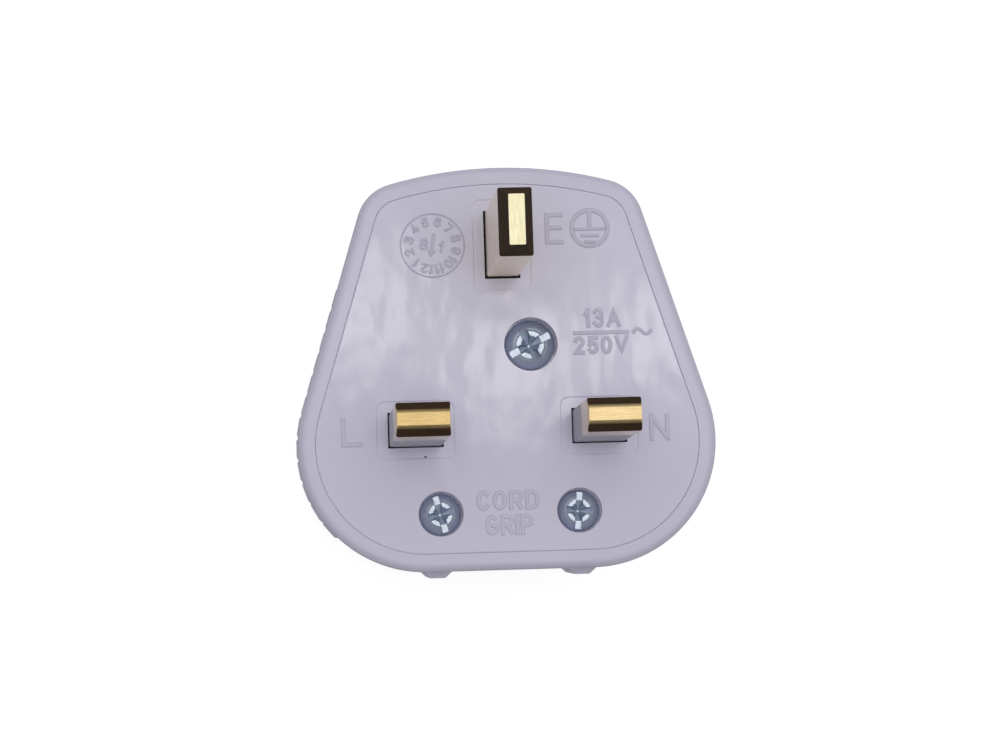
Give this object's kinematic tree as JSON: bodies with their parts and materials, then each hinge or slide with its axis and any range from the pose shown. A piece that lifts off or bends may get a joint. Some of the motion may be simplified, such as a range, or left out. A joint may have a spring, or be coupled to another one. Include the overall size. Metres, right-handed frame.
{
  "type": "three-pin mains plug",
  "caption": "Rewirable fused mains plug in white plastic with flat brass pins, sleeved line pins, a screwed cover and a cord grip.",
  "frame": {"origin": "middle of the plug's footprint, on the flat back of the cover", "axes": "+Z the way the pins point, +Y from the cord entry to the earth pin, live pin on the -X side"},
  "size_m": [0.0508, 0.0494, 0.0467],
  "materials": {
    "white_plastic": "glossy moulded plastic, slightly violet white",
    "sleeve_plastic": "satin grey insulating plastic",
    "pin_brass": "bright drawn brass",
    "spring_bronze": "bright rolled bronze strip",
    "zinc_steel": "bright zinc plate with a faint blue tint",
    "nickel_plate": "bright nickel plate",
    "ceramic": "dull off-white ceramic",
    "fibre": "dull red-brown fibre"
  },
  "bodies": {
    "root": {"base": "white_plastic", "cover": "white_plastic", "grip_bar": "white_plastic", "live_sleeve": "sleeve_plastic", "neutral_sleeve": "sleeve_plastic", "earth_pin": "pin_brass", "neutral_pin": "pin_brass", "live_pin": "pin_brass", "live_terminal": "pin_brass", "cover_nut": "pin_brass", "clip_rivets": "pin_brass", "lower_fuse_clip": "spring_bronze", "upper_fuse_clip": "spring_bronze", "cover_screw": "zinc_steel", "grip_screws": "zinc_steel", "grip_nuts": "zinc_steel", "terminal_screws": "zinc_steel", "lower_fuse_cap": "nickel_plate", "upper_fuse_cap": "nickel_plate", "fuse_barrel": "ceramic", "screw_washer": "fibre"}
  },
  "joints": []
}
